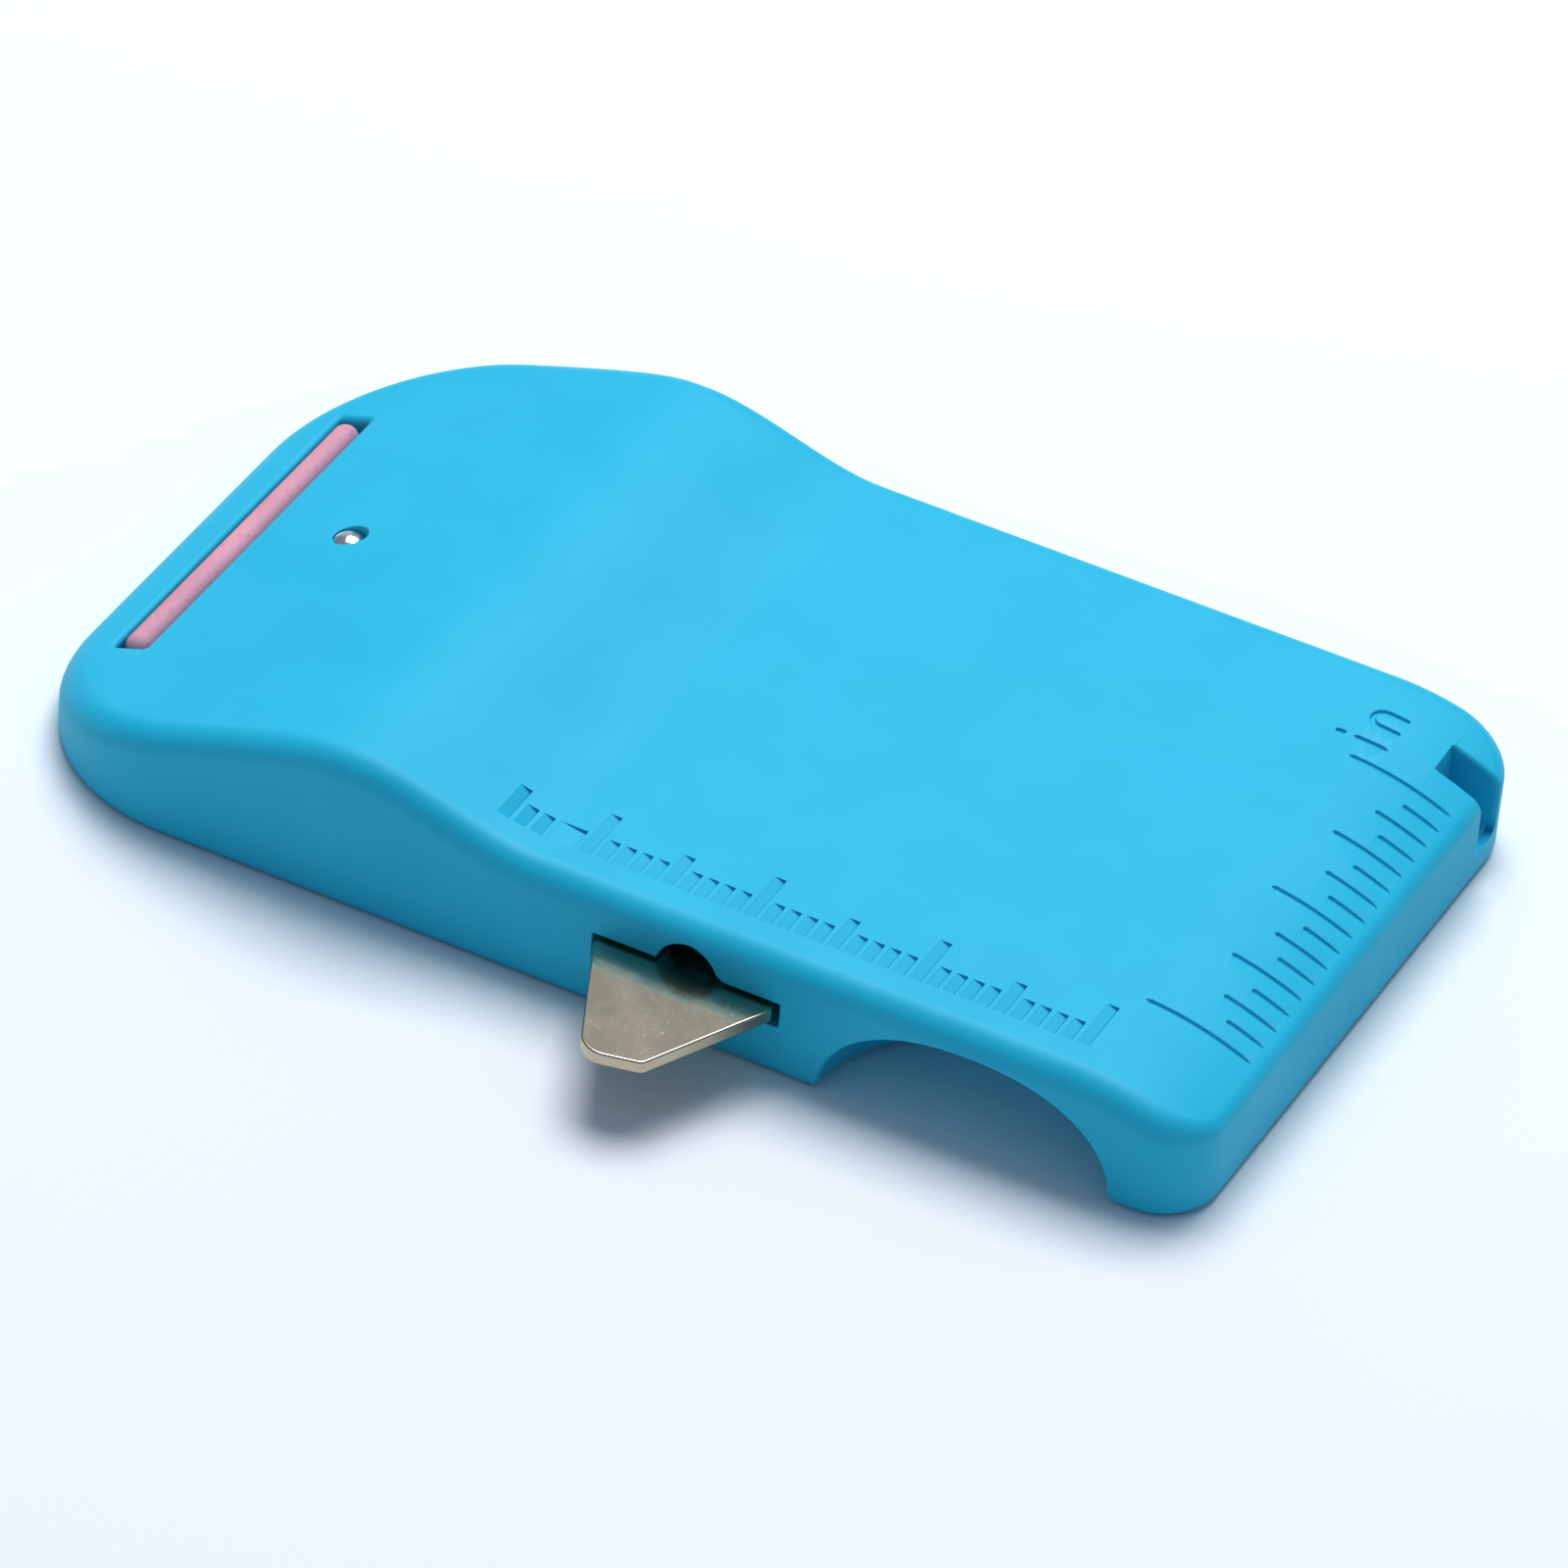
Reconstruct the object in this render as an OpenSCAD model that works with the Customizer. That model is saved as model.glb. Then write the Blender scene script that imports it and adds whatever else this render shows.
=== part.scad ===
// A palm-sized paper scoring tool: a wedge-nosed plastic body with two engraved
// scales, a sliding steel scoring plate, a finger scoop and a creasing bar.
// The origin is the centre of the underside. +X runs to the ruler end, +Y to the
// back, and +Z is up.

/* [Body] */
// Overall length of the body
body_len = 73.8; // [73:0.1:75]
// Overall width of the body
body_w = 42.4; // [42:0.1:44]
// Thickness of the flat ruler end
flat_t = 7.5; // [7.4:0.05:8]
// Height of the thumb hump above the flat
hump_h = 2.35; // [1.8:0.05:3]
// Radius of the rounded top edge along the sides and the nose
edge_r = 1.6; // [1.2:0.1:1.8]
// Radius of the top edge at the ruler end
end_edge_r = 0.6; // [0.4:0.1:1]
// Wall thickness of the shell
wall = 1.6; // [1.6:0.1:1.8]
// Thickness of the shell's roof
skin = 1.4; // [1.3:0.1:1.5]

/* [Scoring plate] */
// Width of the plate where it leaves the slot
blade_w = 10.8; // [9:0.1:10.8]
// Thickness of the plate
blade_t = 0.8; // [0.6:0.05:0.8]
// How far the plate stands out, which is also its travel
blade_out = 8.9; // [6:0.1:8.9]
// Width of the plate's blunt tip
tip_w = 3.4; // [2:0.1:4]
// How far one corner of the tip is set back from the other
tip_skew = 0.8; // [0:0.1:1]

/* [Scales] */
// Number of millimetre divisions on the long edge
mm_divisions = 35; // [10:1:40]
// Depth of the engraved marks
mark_depth = 0.25; // [0.2:0.05:0.4]

/* [Nose] */
// Length of the creasing bar
bar_len = 24.9; // [20:0.1:24.9]
// Diameter of the round top of the creasing bar
bar_d = 1.6; // [1.6:0.1:2]
// Diameter of the stud's visible head
stud_d = 1.75; // [1.6:0.05:1.8]

/* [Hidden] */
$fn = 64;
half_l = body_len / 2;
half_w = body_w / 2;
nose_r = 11;                // plan radius of both nose corners
front_r = 3.6;              // plan radius of the front corner at the ruler end
back_r = 4.4;               // plan radius of the back corner at the ruler end
foot_r = 0.7;               // radius of the bottom edge
hump_from = -3.25;          // the top starts to rise here, going towards the nose
hump_to = -14.75;           // and has risen fully here
crest_x = -15.25;           // the nose slope starts here
nose_slope = 0.36;          // final slope of the nose
crest_soft = 1.05;          // how gently the crest turns into the slope
droop_x = 28.75;            // the top starts to fall here, going towards the ruler end
droop_r = 16;               // radius of that fall
cover_t = 1.2;              // thickness of the base cover's floor
fit = 0.1;                  // gap round the base cover
over = 1;                   // how far a cutter runs past what it cuts

scoop_x = 23.3;             // finger scoop: centre, radius in plan and height
scoop_r = 8.7;
scoop_h = 5.95;
scoop_power = 2.2;          // 2 is an ellipse, and more is squarer
scoop_wall = 1.2;
scoop_foot = 0.5;           // radius of the flare round the scoop's foot

notch_w = 2.45;             // corner notch: width, start along X, middle and floor
notch_from = 33.8;
notch_y = 15.97;
notch_floor = 1.9;
notch_wall = 1.1;

blade_x = 6.4;              // scoring plate: middle of its width and its underside
blade_z = 3.8;
slot_x = 6.4;               // the opening it comes out of
slot_w = 11.35;
slot_z0 = 3.25;
slot_z1 = 4.8;
nail_r = 1.86;              // the half-round nail notch over that opening
nail_z = 4.44;
shoulder = 0.4;             // how far in front of the wall the plate starts to narrow
rear_y = -5.9;              // rear end of the plate, fully out
tip_r = [1.6, 0.6];         // radii of the tip's two corners
pin_d = 2;
pin_y = -9.6;
pin_top = 5.4;
pin_seat = 0.4;             // the blind hole that holds the pin starts here
pin_play = 0.2;             // the plate's own slot is this much wider than the pin
bed_top = 3.75;
bed_back = 3.6;             // bed and rails end here, behind the middle
rail_t = 0.9;
rail_gap = 0.15;
rail_top = 5.4;

post_y = 6.7;               // post that carries the leaf spring
post_d = 4.6;
post_top = 4.8;
leaf_t = 0.25;
leaf_w = 5;
leaf_tip_y = -8.2;
leaf_gap = 0.03;            // the leaf just clears the plate
leaf_hole_d = 1.8;
spring_screw_d = 1.6;
spring_head_d = 3.2;
head_t = 0.85;              // thickness of a screw head
cross_l = 2;                // cross recess in a screw head: length and width
cross_w = 0.4;

screw_d = 2;                // cover screws and spring screw
screw_head_d = 3.8;
screw_len = 4.6;
screw_gap = 0.6;            // a pilot hole runs on this far past its screw
boss_d = 4.6;
boss_gap = 0.05;            // bosses stop this far above the cover
screw_spots = [[27, -7.5], [27.7, 15.2], [-19.8, 15.2], [-19.8, -15.8]];
pilot_gap = 0.03;

bar_x = -33;                // creasing bar: middle along X and Y, and height of its axis
bar_y = 0.5;
bar_z = 3.7;
bar_foot_extra = 0.5;       // how far the foot runs past the bar at each end
bar_slot_w = 1.9;
bar_slot_extra = 0.3;
holder_z0 = 1.25;
holder_z1 = 2.3;
holder_pocket = 0.55;
holder_margin = 0.5;        // the holder runs this far past the bar's foot
tongue_w = 5;
stud_x = -26.4;             // stud: the rivet's head
stud_y = 0.6;
stud_hole_d = 2;
stud_sunk = 0.6;            // depth of the recess that holds the head
stud_boss_d = 4;
stud_dome = 0.35;
rivet_d = 1.2;
rivet_foot_d = 2;           // its rolled lower end, in a counterbore
rivet_foot_t = 0.37;

mm_zero_x = 28.75;          // millimetre scale: zero, near end, and width of a mark
mm_y = -18.4;
mm_stroke = 0.55;
mm_len = [1.75, 2.8, 3.8];  // single, fifth and tenth marks
mm_joined = [31, 32];       // these two marks run into one wide one
inch_step = 25.4 / 16;      // inch scale, in sixteenths
inch_stroke = 0.28;
inch_y = -13.1;
inch_end_x = 36;           // all its marks end here, and start this far before it
inch_len = [2.25, 3.2, 4.3, 4.95, 6.35];

// Smooth step from 0 to 1
function ease(t) = let (c = min(1, max(0, t))) c * c * (3 - 2 * c);
// Height of the top at a place along the length, before the edge is rounded
function top_z(x) = flat_t
    + hump_h * ease((hump_from - x) / (hump_from - hump_to))
    - (sqrt(pow(nose_slope * max(0, crest_x - x), 2) + pow(crest_soft, 2)) - crest_soft)
    - pow(max(0, x - droop_x), 2) / (2 * droop_r);

// How far a rounded plan corner has pulled in, a distance d from the end
function corner_in(r, d) = d >= r ? 0 : r - sqrt(max(0, r * r - (r - d) * (r - d)));
// Sine of the outline's turn at that place: 0 on the long side and 1 on the end
function corner_turn(r, d) = d >= r ? 0 : (r - d) / r;

// Stations along the length: close together round the corners and over the hump
turn_step = 11.25;
slope_from = -half_l + nose_r;
slope_to = hump_to - 0.3 * (hump_from - hump_to);
stations = concat(
    [for (a = [0 : turn_step : 90]) -half_l + nose_r * (1 - cos(a))],
    [for (k = [1 : 4]) slope_from + (slope_to - slope_from) * k / 5],
    [for (k = [-3 : 11]) hump_to + (hump_from - hump_to) * k / 10],
    [10, 20, droop_x, droop_x + 2],
    [for (a = [90 : -turn_step : 0]) half_l - back_r * (1 - cos(a))]);

// Side sections: [inset, height] round the foot, and [inset, drop] over the top edge as
// shares of the edge's radius, which is smaller where the outline faces the ruler end.
function edge_at(nx) = edge_r + (end_edge_r - edge_r) * pow(max(0, nx), 2);
foot_steps = 3;
edge_steps = 8;
foot_arc = [for (k = [0 : foot_steps])
    let (a = 90 * k / foot_steps) [foot_r * (1 - sin(a)), foot_r * (1 - cos(a))]];
edge_arc = [for (k = [0 : edge_steps])
    let (a = 90 * k / edge_steps) [1 - cos(a), 1 - sin(a)]];

// One outline point: side is -1 for the front half and 1 for the back half
function right_r(side) = side < 0 ? front_r : back_r;
function plan_point(x, side, inset, edge_share) =
    let (dn = x + half_l, dr = half_l - x,
        y = half_w - corner_in(nose_r, dn) - corner_in(right_r(side), dr),
        nx = corner_turn(right_r(side), dr) - corner_turn(nose_r, dn),
        ny = sqrt(max(0, 1 - nx * nx)),
        r = edge_at(nx),
        d = inset + edge_share * r)
    [x - nx * d, side * (y - ny * d), r];

// One closed ring round the body: front half from nose to ruler end, then back again
count = len(stations);
function foot_ring(inset, z) = [for (p = ring(inset, 0)) [p[0], p[1], z]];
function edge_ring(share, drop) = [for (p = ring(0, share))
    [p[0], p[1], top_z(p[0]) - drop * p[2]]];
function ring(inset, edge_share) = [for (k = [0 : 2 * count - 1])
    let (side = k < count ? -1 : 1,
        x = stations[k < count ? k : 2 * count - 1 - k])
    plan_point(x, side, inset, edge_share)];

// The whole outside of the body: a stack of rings, closed by a flat underside and by
// strips across the top
module outer_body() {
    rings = concat(
        [for (p = foot_arc) foot_ring(p[0], p[1])],
        [for (p = edge_arc) edge_ring(p[0], p[1])]);
    size = 2 * count;
    last = (len(rings) - 1) * size;
    walls = [for (i = [0 : len(rings) - 2]) for (k = [0 : size - 1])
        let (n = (k + 1) % size, a = i * size, b = a + size)
        for (f = [[a + n, a + k, b + k], [a + n, b + k, b + n]]) f];
    top = [for (k = [0 : count - 2])
        [last + k, last + size - 1 - k, last + size - 2 - k, last + k + 1]];
    under = [for (k = [0 : count - 2])
        [k, k + 1, size - 2 - k, size - 1 - k]];
    polyhedron(points = [for (r = rings) for (p = r) p],
        faces = concat(walls, top, under), convexity = 4);
}

// Plan outline of the body, pulled in by a margin
module plan(inset) {
    rn = nose_r - inset;
    rf = front_r - inset;
    rb = back_r - inset;
    x0 = -half_l + inset;
    x1 = half_l - inset;
    y1 = half_w - inset;
    translate([x0 + rn, -y1]) square([x1 - x0 - rn - rb, 2 * y1]);
    translate([x0, -y1 + rn]) square([rn + over, 2 * (y1 - rn)]);
    translate([x1 - rb - over, -y1 + rf]) square([rb + over, 2 * y1 - rf - rb]);
    translate([x1 - rb - over, -y1]) square([rb + over - rf, rf + over]);
    for (s = [-1, 1]) translate([x0 + rn, s * (y1 - rn)]) circle(r = rn);
    translate([x1 - rf, -y1 + rf]) circle(r = rf);
    translate([x1 - rb, y1 - rb]) circle(r = rb);
}

// Everything under a surface that lies a depth below the top
module under_roof(depth) {
    step = 2.4;
    translate([0, half_w + over, 0]) rotate([90, 0, 0])
        linear_extrude(height = body_w + 2 * over)
        polygon(concat(
            [[half_l + over, -over], [-half_l - over, -over]],
            [for (x = [-half_l - over : step : half_l + over]) [x, top_z(x) - depth]],
            [[half_l + over, top_z(half_l + over) - depth]]));
}

// A domed solid about the finger scoop's axis, grown by a margin, whose foot can flare
// out on a quarter circle
module scoop_dome(margin, foot) {
    r = scoop_r + margin;
    h = scoop_h + margin;
    turns = concat([0 : 1.5 : 6], [12 : 6 : 90]);
    profile = [for (list = turns) for (a = list)
        [r * pow(cos(a), 2 / scoop_power), h * pow(sin(a), 2 / scoop_power)]];
    function flare(z) = z >= foot ? 0 : foot - sqrt(foot * foot - pow(foot - z, 2));
    translate([scoop_x, -half_w, 0]) rotate_extrude()
        polygon(concat([[0, -over], [r + foot, -over]],
            [for (p = profile) [p[0] + flare(p[1]), p[1]]]));
}

module round_post(x, y, d, z0, z1) {
    translate([x, y, z0]) cylinder(d = d, h = z1 - z0);
}

// A slab with half-round ends, lying along Y
module stadium(x, y, w, l, z0, z1) {
    for (s = [-1, 1]) round_post(x, y + s * (l - w) / 2, w, z0, z1);
    translate([x - w / 2, y - (l - w) / 2, z0]) cube([w, l - w, z1 - z0]);
}

/* Engraved marks */
// Millimetre scale: every fifth mark is longer, and every tenth longer still
function mm_rank(k) = k % 10 == 0 ? 2 : k % 5 == 0 ? 1 : 0;
// Inch scale: halves, quarters, eighths and sixteenths of an inch
function inch_rank(k) =
    k % 16 == 0 ? 4 : k % 8 == 0 ? 3 : k % 4 == 0 ? 2 : k % 2 == 0 ? 1 : 0;

// A mark is cut down from above, to its depth below the top at its own place
module mark(x0, y0, lx, ly) {
    floor_z = top_z(x0 + lx / 2) - mark_depth;
    translate([x0, y0, floor_z]) cube([lx, ly, mark_depth + over]);
}

module mm_marks() {
    for (k = [0 : mm_divisions])
        mark(mm_zero_x - k - mm_stroke, mm_y, mm_stroke, mm_len[mm_rank(k)]);
    if (mm_divisions >= mm_joined[1])
        mark(mm_zero_x - mm_joined[1] - mm_stroke, mm_y,
            mm_joined[1] - mm_joined[0] + mm_stroke, mm_len[0]);
}

// A cut that follows the fall of the top: an extruded side profile
module falling_mark(x0, x1, y, w) {
    steps = 6;
    line = [for (i = [0 : steps]) let (x = x0 + (x1 - x0) * i / steps)
        [x, top_z(x) - mark_depth]];
    translate([0, y + w / 2, 0]) rotate([90, 0, 0]) linear_extrude(height = w)
        polygon(concat(line, [[x1, flat_t + over], [x0, flat_t + over]]));
}

module inch_marks() {
    for (k = [0 : 16])
        falling_mark(inch_end_x - inch_len[inch_rank(k)], inch_end_x,
            inch_y + k * inch_step, inch_stroke);
}

// The letters i and n, a plain mark for inches, drawn with bars and one arc
module unit_mark() {
    arc_x = 29.95;
    leg_end = 31.25;
    legs_y = [15.65, 16.95];
    i_y = 14;
    arc_r = (legs_y[1] - legs_y[0]) / 2;
    falling_mark(28.05, 28.7, i_y, inch_stroke);
    falling_mark(29.15, leg_end, i_y, inch_stroke);
    for (y = legs_y) falling_mark(arc_x, leg_end, y, inch_stroke);
    translate([arc_x, (legs_y[0] + legs_y[1]) / 2, top_z(arc_x) - mark_depth])
        intersection() {
            difference() {
                cylinder(r = arc_r + inch_stroke / 2, h = over);
                translate([0, 0, -over]) cylinder(r = arc_r - inch_stroke / 2, h = 3 * over);
            }
            translate([-2 * arc_r, -2 * arc_r, -over])
                cube([2 * arc_r + 0.01, 4 * arc_r, 3 * over]);
        }
}

/* Pieces */
module upper_shell() {
    color([0.25, 0.75, 0.92]) difference() {
        outer_body();
        shell_hollow();
        scoop_dome(0, scoop_foot);
        mm_marks();
        inch_marks();
        unit_mark();
        // corner notch
        translate([notch_from, notch_y - notch_w / 2, notch_floor])
            cube([half_l - notch_from + over, notch_w, flat_t]);
        // slot for the scoring plate, and the nail notch over it
        translate([slot_x - slot_w / 2, -half_w - over, slot_z0])
            cube([slot_w, wall + 2 * over, slot_z1 - slot_z0]);
        translate([slot_x, -half_w + wall + over, nail_z]) rotate([90, 0, 0])
            cylinder(r = nail_r, h = wall + 2 * over);
        // slot for the creasing bar, and the stud's recess
        translate([bar_x - bar_slot_w / 2, bar_y - bar_len / 2 - bar_slot_extra, holder_z1])
            cube([bar_slot_w, bar_len + 2 * bar_slot_extra, flat_t]);
        round_post(stud_x, stud_y, stud_hole_d, top_z(stud_x) - stud_sunk, flat_t + hump_h);
        round_post(stud_x, stud_y, rivet_d + 2 * pilot_gap, 0, flat_t);
        for (p = screw_spots)
            round_post(p[0], p[1], screw_d + 2 * pilot_gap, 0, screw_len + screw_gap);
    }
}

// The space inside the shell: all that lies under the roof and inside the walls,
// but for the scoop's dome, the notch's box and the bosses
module shell_hollow() {
    difference() {
        intersection() {
            translate([0, 0, -over]) linear_extrude(height = 3 * flat_t) plan(wall);
            under_roof(skin);
        }
        scoop_dome(scoop_wall, 0);
        translate([notch_from - notch_wall, notch_y - notch_w / 2 - notch_wall,
            cover_t + boss_gap])
            cube([half_l - notch_from + over, notch_w + 2 * notch_wall, flat_t]);
        for (p = screw_spots)
            round_post(p[0], p[1], boss_d, cover_t + boss_gap, 3 * flat_t);
        round_post(stud_x, stud_y, stud_boss_d, holder_z1 + boss_gap, 3 * flat_t);
    }
}

module base_cover() {
    bed_from = -half_w + wall + 2 * fit;
    bed_w = blade_w + 2 * rail_gap + 2 * rail_t;
    bed_len = bed_back - bed_from;
    color([0.18, 0.62, 0.82]) difference() {
        union() {
            difference() {
                linear_extrude(height = cover_t) plan(wall + fit);
                scoop_dome(scoop_wall + fit, 0);
            }
            // bed and rails for the scoring plate
            translate([blade_x - bed_w / 2, bed_from, 0])
                cube([bed_w, bed_len, bed_top]);
            for (s = [-1, 1])
                translate([blade_x + s * (bed_w - rail_t) / 2 - rail_t / 2, bed_from, 0])
                cube([rail_t, bed_len, rail_top]);
            round_post(blade_x, post_y, post_d, 0, post_top);
        }
        round_post(blade_x, pin_y, pin_d + 2 * pilot_gap, pin_seat, rail_top);
        round_post(blade_x, post_y, spring_screw_d + 2 * pilot_gap, screw_d - fit, rail_top);
        for (p = screw_spots) {
            round_post(p[0], p[1], screw_d + 2 * fit, -over, cover_t + over);
            translate([p[0], p[1], -0.01])
                cylinder(d1 = screw_head_d + 2 * fit, d2 = screw_d + 2 * fit,
                    h = head_t + fit);
        }
    }
}

// Arc points that round the corner b between a and c, with radius r
function unit(v) = v / norm(v);
function round_corner(a, b, c, r) =
    let (u = unit(a - b), v = unit(c - b), half = acos(u * v) / 2,
        middle = b + unit(u + v) * r / sin(half),
        t0 = b + u * r / tan(half) - middle, t1 = b + v * r / tan(half) - middle,
        a0 = atan2(t0[1], t0[0]), turn = atan2(t1[1], t1[0]) - a0, steps = 8)
    [for (k = [0 : steps]) middle + r * [cos(a0 + turn * k / steps),
        sin(a0 + turn * k / steps)]];

// The plate's outline: straight behind the wall, then narrowing to a blunt tip
module blade_outline() {
    y_tip = -half_w - blade_out;
    y_shoulder = -half_w - shoulder;
    left = [-blade_w / 2, y_shoulder];
    right = [blade_w / 2, y_shoulder];
    tip_left = [-tip_w / 2, y_tip];
    tip_right = [tip_w / 2, y_tip + tip_skew];
    polygon(concat([[-blade_w / 2, rear_y], left],
        round_corner(left, tip_left, tip_right, tip_r[0]),
        round_corner(tip_left, tip_right, right, tip_r[1]),
        [right, [blade_w / 2, rear_y]]));
}

module scoring_blade() {
    color([0.62, 0.62, 0.6]) translate([blade_x, 0, blade_z]) difference() {
        linear_extrude(height = blade_t) blade_outline();
        stadium(0, pin_y - blade_out / 2, pin_d + pin_play,
            blade_out + pin_d + pin_play, -over, blade_t + over);
    }
}

module blade_stop_pin() {
    color([0.7, 0.7, 0.72]) round_post(blade_x, pin_y, pin_d, pin_seat + pilot_gap, pin_top);
}

// Two crossed bars, half sunk in a screw head whose face is at z
module cross_recess(x, y, z) {
    for (size = [[cross_w, cross_l, head_t], [cross_l, cross_w, head_t]])
        translate([x, y, z]) cube(size, center = true);
}

// A flat tail on the post, and an arm that comes down to bear on the plate
module friction_spring() {
    bear_z = blade_z + blade_t + leaf_gap;
    low = [[post_y + 2.8, post_top], [post_y - 2.4, post_top], [3.1, post_top - 0.05],
        [-6.3, bear_z], [-7.3, bear_z], [leaf_tip_y, bear_z + 0.35]];
    high = [for (k = [len(low) - 1 : -1 : 0]) low[k] + [0, leaf_t]];
    color([0.75, 0.75, 0.72]) difference() {
        translate([blade_x - leaf_w / 2, 0, 0]) rotate([90, 0, 90])
            linear_extrude(height = leaf_w) polygon(concat(low, high));
        round_post(blade_x, post_y, leaf_hole_d, post_top - over, post_top + over);
    }
}

module spring_screw() {
    z = post_top + leaf_t;
    color([0.6, 0.6, 0.62]) {
        round_post(blade_x, post_y, spring_screw_d, screw_d, z);
        difference() {
            round_post(blade_x, post_y, spring_head_d, z, z + head_t);
            cross_recess(blade_x, post_y, z + head_t);
        }
    }
}

// Straight sides below, a full-round top, round ends, and a longer foot
module crease_bar() {
    straight = bar_len - bar_d;
    foot_z = holder_z1 - holder_pocket + 0.02;
    color([0.88, 0.66, 0.72]) {
        stadium(bar_x, bar_y, bar_d, bar_len, foot_z, bar_z);
        stadium(bar_x, bar_y, bar_d, bar_len + 2 * bar_foot_extra, foot_z,
            holder_z1 - 0.03);
        translate([bar_x, bar_y + straight / 2, bar_z]) rotate([90, 0, 0])
            cylinder(d = bar_d, h = straight);
        for (s = [-1, 1])
            translate([bar_x, bar_y + s * straight / 2, bar_z]) sphere(d = bar_d);
    }
}

module bar_holder() {
    x0 = bar_x - bar_d / 2 - 0.5;
    x1 = bar_x + bar_d / 2 + 1.2;
    tongue_x1 = stud_x + stud_boss_d / 2;
    y0 = bar_y - bar_len / 2 - bar_foot_extra - holder_margin;
    y1 = bar_y + bar_len / 2 + bar_foot_extra + holder_margin;
    color([0.85, 0.85, 0.82]) difference() {
        union() {
            translate([x0, y0, holder_z0]) cube([x1 - x0, y1 - y0, holder_z1 - holder_z0]);
            translate([x1 - over, stud_y - tongue_w / 2, holder_z0])
                cube([tongue_x1 - x1 + over, tongue_w, holder_z1 - holder_z0]);
        }
        stadium(bar_x, bar_y, bar_d + 0.1, bar_len + 2 * bar_foot_extra + 0.1,
            holder_z1 - holder_pocket, holder_z1 + over);
        round_post(stud_x, stud_y, rivet_d + 2 * pilot_gap, 0, flat_t);
        round_post(stud_x, stud_y, rivet_foot_d + 2 * fit, 0,
            holder_z0 + rivet_foot_t + fit);
    }
}

// Domed head in the shell's recess, shank through boss and holder, rolled end below
module holder_rivet() {
    seat = top_z(stud_x) - stud_sunk;
    dome_r = (pow(stud_d / 2, 2) + stud_dome * stud_dome) / (2 * stud_dome);
    rim = seat + stud_sunk - stud_dome;
    color([0.86, 0.87, 0.87]) {
        round_post(stud_x, stud_y, stud_d, seat, rim);
        translate([stud_x, stud_y, rim]) intersection() {
            translate([0, 0, stud_dome - dome_r]) sphere(r = dome_r);
            cylinder(d = stud_d, h = over);
        }
        round_post(stud_x, stud_y, rivet_d, holder_z0 + fit, seat);
        round_post(stud_x, stud_y, rivet_foot_d, holder_z0 + fit / 2,
            holder_z0 + rivet_foot_t + fit / 2);
    }
}

module cover_screws() {
    face_z = 0.05;
    color([0.6, 0.6, 0.62]) for (p = screw_spots) difference() {
        union() {
            translate([p[0], p[1], face_z])
                cylinder(d1 = screw_head_d, d2 = screw_d, h = head_t);
            round_post(p[0], p[1], screw_d, face_z, screw_len);
        }
        cross_recess(p[0], p[1], face_z);
    }
}

upper_shell();
base_cover();
scoring_blade();
blade_stop_pin();
friction_spring();
spring_screw();
crease_bar();
bar_holder();
holder_rivet();
cover_screws();
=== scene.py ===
# %% [markdown]
# # A palm-sized paper scoring tool
# The tool is a blue plastic body with a wedge nose, two engraved scales, a steel plate that
# slides out of its side, a scoop for a fingertip and a pink bar for rubbing down a crease.
# The engineering model already fixes every size, so this lesson only makes it look real: it
# rebuilds the visible skins finely, softens every edge that a mould or a press would leave
# soft, and gives each piece a finish of its own.

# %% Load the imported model
import math

import bmesh
import bpy
import numpy as np
from mathutils import Matrix, Vector


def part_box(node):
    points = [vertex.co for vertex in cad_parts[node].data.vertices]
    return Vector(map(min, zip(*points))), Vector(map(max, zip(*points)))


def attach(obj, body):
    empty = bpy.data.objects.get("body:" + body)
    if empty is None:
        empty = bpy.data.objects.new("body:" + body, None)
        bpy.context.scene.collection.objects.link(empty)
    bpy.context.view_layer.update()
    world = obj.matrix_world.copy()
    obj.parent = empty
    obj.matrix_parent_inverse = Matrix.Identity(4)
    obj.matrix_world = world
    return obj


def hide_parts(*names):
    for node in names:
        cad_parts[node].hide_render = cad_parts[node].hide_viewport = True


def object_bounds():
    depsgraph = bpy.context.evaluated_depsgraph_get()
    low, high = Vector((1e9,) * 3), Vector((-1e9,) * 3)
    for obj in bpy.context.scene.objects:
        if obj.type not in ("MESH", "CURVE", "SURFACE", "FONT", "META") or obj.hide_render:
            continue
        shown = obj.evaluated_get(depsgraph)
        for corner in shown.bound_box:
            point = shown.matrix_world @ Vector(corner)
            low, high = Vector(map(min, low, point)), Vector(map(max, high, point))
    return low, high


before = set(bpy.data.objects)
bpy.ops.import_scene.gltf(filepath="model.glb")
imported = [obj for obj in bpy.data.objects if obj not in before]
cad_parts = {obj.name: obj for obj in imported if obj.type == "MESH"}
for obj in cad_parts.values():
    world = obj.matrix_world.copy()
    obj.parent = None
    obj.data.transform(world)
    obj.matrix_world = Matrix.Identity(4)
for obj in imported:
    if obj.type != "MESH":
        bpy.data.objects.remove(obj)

cad_lo, cad_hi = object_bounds()
MM = 0.001
print("the model's box in mm:", [round(c / MM, 2) for c in (*cad_lo, *cad_hi)])

# %% [markdown]
# ## Where to stand
# The tool lies flat and is seen from its front right, a little over a third of the way up.
# A long lens from over half a metre away keeps its edges nearly parallel. The camera is
# built from three turns, one distance and one point to look at, because those are the
# things that get changed at a tripod.

# %% Camera
view_turn = math.radians(24.07)
view_rise = math.radians(37.50)
view_roll = math.radians(5.56)
view_distance = 624 * MM
view_point = Vector((9.94, -18.66, 17.19)) * MM

forward = Vector((-math.sin(view_turn) * math.cos(view_rise),
                  math.cos(view_turn) * math.cos(view_rise), -math.sin(view_rise)))
level = Vector((math.cos(view_turn), math.sin(view_turn), 0))
upward = level.cross(forward)
right = level * math.cos(view_roll) + upward * math.sin(view_roll)
top = upward * math.cos(view_roll) - level * math.sin(view_roll)

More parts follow.
